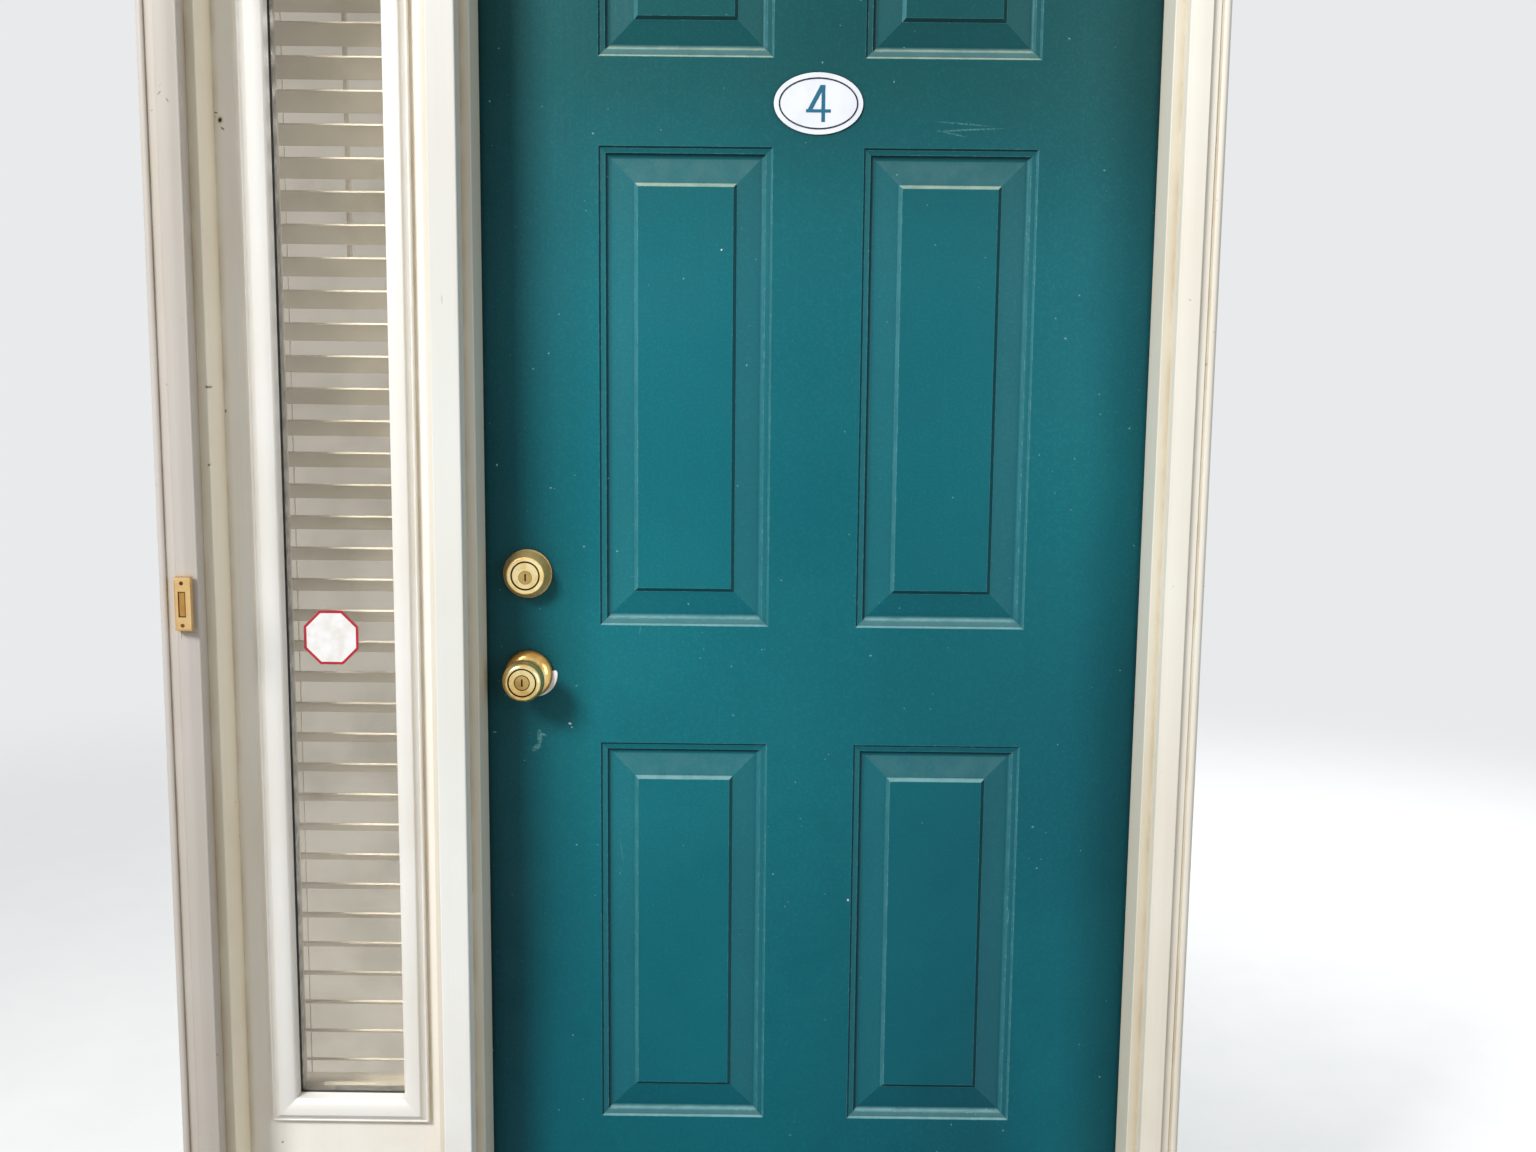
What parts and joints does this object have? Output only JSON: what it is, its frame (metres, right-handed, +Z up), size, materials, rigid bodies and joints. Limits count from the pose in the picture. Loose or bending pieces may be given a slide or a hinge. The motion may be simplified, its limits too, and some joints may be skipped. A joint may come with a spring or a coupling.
{
  "type": "entry door set",
  "caption": "Teal panelled front door, closed in its white frame, with a narrow glazed sidelight, a blind behind the glass, a brass knob and a brass deadbolt.",
  "frame": {"origin": "on the sill's underside, below the middle of the doorway, in the plane of the jambs' outer edge", "axes": "+X to the right seen from outside, towards the hinges; +Y into the house; +Z up"},
  "size_m": [1.3631, 0.2565, 2.105],
  "materials": {
    "frame_paint": "satin",
    "sidelight_paint": "satin",
    "sill_core": "satin",
    "aluminium": "satin",
    "strip": "matte",
    "brass": "polished",
    "steel": "satin",
    "lite_plastic": "satin",
    "glass": "polished",
    "sticker": "gloss",
    "blind": "satin",
    "bell": "satin",
    "door_paint": "satin",
    "foam": "matte",
    "timber": "satin",
    "enamel": "gloss"
  },
  "bodies": {
    "frame": {"hinge_jamb": "frame_paint", "strike_jamb": "frame_paint", "mull_jamb": "frame_paint", "sidelight_jamb": "frame_paint", "head_jamb": "frame_paint", "sill_base": "sill_core", "sill_deck": "aluminium", "sill_cap": "sill_core", "brickmould_left": "frame_paint", "brickmould_right": "frame_paint", "brickmould_head": "frame_paint", "mull_casing": "frame_paint", "weatherstrip": "strip", "strike_plate": "brass", "deadbolt_strike": "brass", "hinge_frame_leaves": "brass", "hinge_pins": "brass", "frame_screws": "brass", "sidelight_slab": "sidelight_paint", "lite_frame_outer": "lite_plastic", "lite_frame_inner": "lite_plastic", "glass_panes": "glass", "glass_spacer": "aluminium", "glass_sticker": "sticker", "blind_headrail": "blind", "blind_brackets": "aluminium", "blind_slats": "blind", "blind_bottom_rail": "blind", "blind_wand": "blind", "doorbell_body": "bell", "doorbell_screws": "steel"},
    "door_leaf": {"door_skin_outer": "door_paint", "door_skin_inner": "door_paint", "door_core": "foam", "lock_stile": "timber", "hinge_stile": "timber", "top_rail": "timber", "bottom_rail": "timber", "door_sweep": "strip", "hinge_door_leaves": "brass", "leaf_screws": "brass", "number_plate": "enamel", "deadbolt_collar": "brass", "deadbolt_faceplate": "brass", "deadbolt_inner_plate": "brass", "deadbolt_screws": "brass", "knob_rose_outer": "brass", "knob_rose_inner": "brass", "backing_ring": "lite_plastic", "latch_faceplate": "brass", "lock_chassis": "steel"},
    "doorbell_button": {"doorbell_button": "bell"},
    "deadbolt_bolt": {"deadbolt_bolt": "steel"},
    "thumb_turn": {"deadbolt_thumb_turn": "brass"},
    "deadbolt_plug": {"deadbolt_plug": "brass"},
    "latch_bolt": {"latch_bolt": "steel"},
    "outer_knob": {"outer_knob": "brass"},
    "inner_knob": {"inner_knob": "brass"},
    "knob_plug": {"knob_plug": "brass"},
    "turn_button": {"turn_button": "brass"}
  },
  "joints": [
    {"name": "door_swing", "type": "hinge", "parent": "frame", "child": "door_leaf", "pos_m": [0.4556, 0.1229, 1], "axis": [0, 0, -1], "range_deg": [0, 110]},
    {"name": "outer_knob_turn", "type": "hinge", "parent": "door_leaf", "child": "outer_knob", "pos_m": [-0.3887, 0.04, 0.9524], "axis": [0, -1, 0], "range_deg": [0, 60], "stiffness_Nm_per_rad": 0.3},
    {"name": "inner_knob_turn", "type": "hinge", "parent": "door_leaf", "child": "inner_knob", "pos_m": [-0.3887, 0.15, 0.9524], "axis": [0, 1, 0], "range_deg": [0, 60], "stiffness_Nm_per_rad": 0.3},
    {"name": "latch_slide", "type": "slide", "parent": "door_leaf", "child": "latch_bolt", "axis": [1, 0, 0], "range_m": [0, 0.0127]},
    {"name": "knob_plug_turn", "type": "hinge", "parent": "outer_knob", "child": "knob_plug", "pos_m": [-0.3887, 0.02, 0.9524], "axis": [0, -1, 0], "range_deg": [0, 90]},
    {"name": "turn_button_turn", "type": "hinge", "parent": "inner_knob", "child": "turn_button", "pos_m": [-0.3887, 0.17, 0.9524], "axis": [0, 1, 0], "range_deg": [0, 90]},
    {"name": "thumb_turn_turn", "type": "hinge", "parent": "door_leaf", "child": "thumb_turn", "pos_m": [-0.3887, 0.13, 1.0921], "axis": [0, 1, 0], "range_deg": [0, 90]},
    {"name": "deadbolt_slide", "type": "slide", "parent": "door_leaf", "child": "deadbolt_bolt", "axis": [-1, 0, 0], "range_m": [0, 0.0254]},
    {"name": "deadbolt_plug_turn", "type": "hinge", "parent": "door_leaf", "child": "deadbolt_plug", "pos_m": [-0.3887, 0.05, 1.0896], "axis": [0, -1, 0], "range_deg": [0, 90]},
    {"name": "doorbell_press", "type": "slide", "parent": "frame", "child": "doorbell_button", "axis": [0, 1, 0], "range_m": [0, 0.0015], "stiffness_N_per_m": 400}
  ],
  "couplings": [
    {"joint": "latch_slide", "follows": "outer_knob_turn", "m_per_rad": 0.012127},
    {"joint": "thumb_turn_turn", "follows": "deadbolt_slide", "rad_per_m": 61.84}
  ]
}
